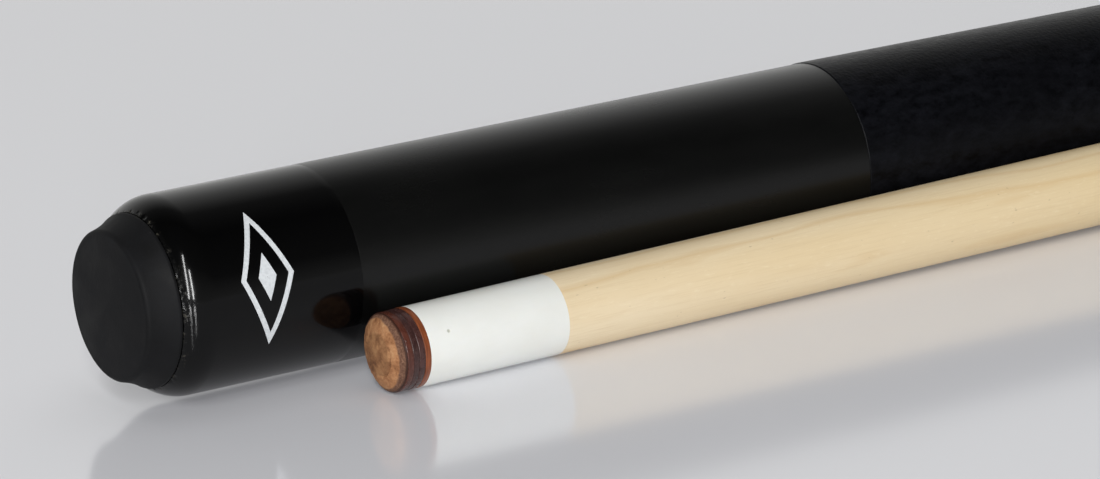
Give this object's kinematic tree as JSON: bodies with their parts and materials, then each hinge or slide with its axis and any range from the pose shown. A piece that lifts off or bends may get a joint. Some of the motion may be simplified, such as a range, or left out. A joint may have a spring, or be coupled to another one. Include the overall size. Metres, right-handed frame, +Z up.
{
  "type": "two-piece pool cue",
  "caption": "Two-piece pool cue taken apart: black butt half with rubber bumper and screw pin, and maple shaft half with white ferrule and layered leather tip.",
  "frame": {"origin": "bottom centre of the box round both halves, on the surface they lie on", "axes": "+X along the halves from their outer ends to their joint faces, +Y from the shaft half to the butt half, +Z up"},
  "size_m": [0.771, 0.0484, 0.0325],
  "materials": {
    "rubber": "matte moulded rubber",
    "gloss_black": "polished black",
    "satin_black": "satin black lacquer",
    "satin_black_wood": "wood under satin black lacquer",
    "core_wood": "plain turned hardwood",
    "wrap_grain": "black grained grip wrap",
    "steel": "plain steel",
    "ring_metal": "polished ring",
    "brass": "turned brass",
    "maple": "sealed maple, straight grain",
    "ferrule_white": "polished white",
    "red_fibre": "vulcanised fibre",
    "tip_leather": "chalk-worn tan leather",
    "pressed_leather": "pressed dark red-brown leather"
  },
  "bodies": {
    "butt": {"butt_cap": "gloss_black", "butt_sleeve": "satin_black", "handle": "core_wood", "wrap": "wrap_grain", "forearm_screw": "steel", "forearm": "satin_black_wood", "butt_joint_ring": "ring_metal", "butt_joint_collar": "gloss_black", "joint_pin": "steel"},
    "bumper": {"bumper": "rubber"},
    "weight_bolt": {"weight_bolt": "steel"},
    "shaft": {"tip_pad": "red_fibre", "ferrule": "ferrule_white", "shaft": "maple", "shaft_joint_ring": "ring_metal", "shaft_joint_collar": "gloss_black", "shaft_insert": "brass", "tip_layer_1": "tip_leather", "tip_layer_2": "pressed_leather", "tip_layer_3": "pressed_leather", "tip_layer_4": "pressed_leather"}
  },
  "joints": [
    {"name": "shaft_swing", "type": "hinge", "parent": "butt", "child": "shaft", "pos_m": [0.38196, -0.00264, 0.0106], "axis": [0, 0, 1], "range_deg": [0, 180]},
    {"name": "bumper_pull", "type": "slide", "parent": "butt", "child": "bumper", "axis": [-1, 0, 0.0083], "range_m": [0, 0.03]},
    {"name": "weight_bolt_travel", "type": "slide", "parent": "butt", "child": "weight_bolt", "axis": [-1, 0, 0.0083], "range_m": [0, 0.019]}
  ]
}
